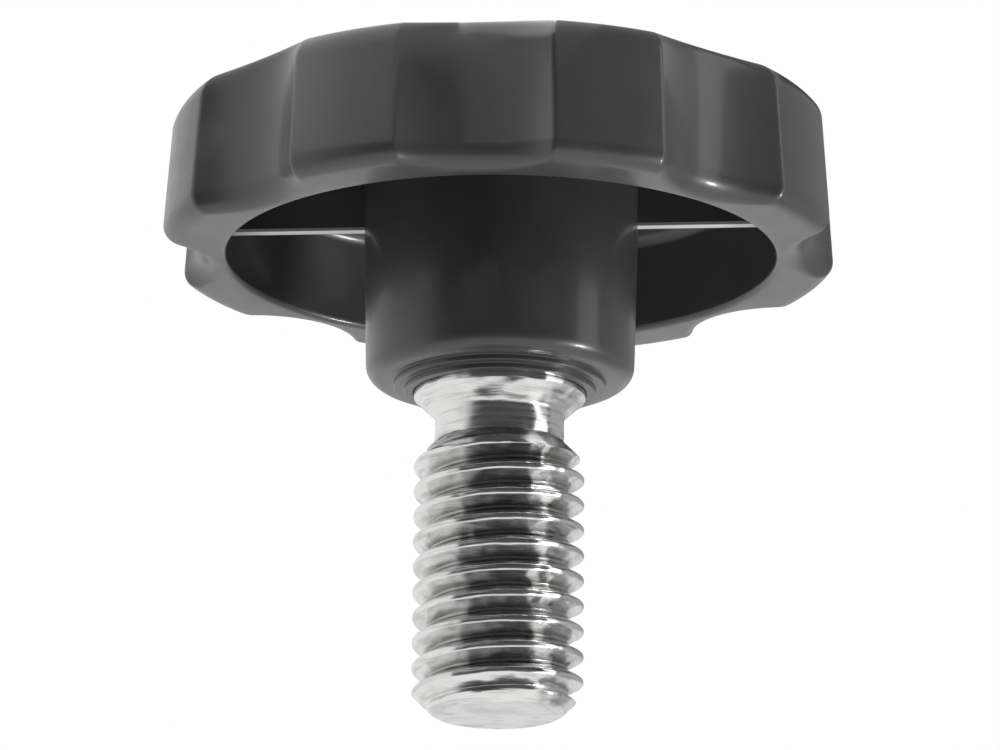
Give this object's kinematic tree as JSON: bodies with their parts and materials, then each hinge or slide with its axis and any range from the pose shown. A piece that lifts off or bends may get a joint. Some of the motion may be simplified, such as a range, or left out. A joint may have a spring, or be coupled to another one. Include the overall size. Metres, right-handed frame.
{
  "type": "threaded stud knob",
  "caption": "Round fluted grip knob with a hollow underside and a central boss that holds a moulded-in threaded steel stud.",
  "frame": {"origin": "middle of the flat crown face that the knob stands on", "axes": "+Z along the stud, from the crown to the stud's tip; the ribs lie along X; a flute faces each of +X, -X, +Y and -Y"},
  "size_m": [0.0388, 0.0388, 0.036],
  "materials": {
    "moulded_head": "black moulded phenolic with a soft sheen",
    "steel_stud": "bright zinc-plated steel, turned, with a rolled thread"
  },
  "bodies": {
    "root": {"head": "moulded_head", "stud": "steel_stud"}
  },
  "joints": []
}
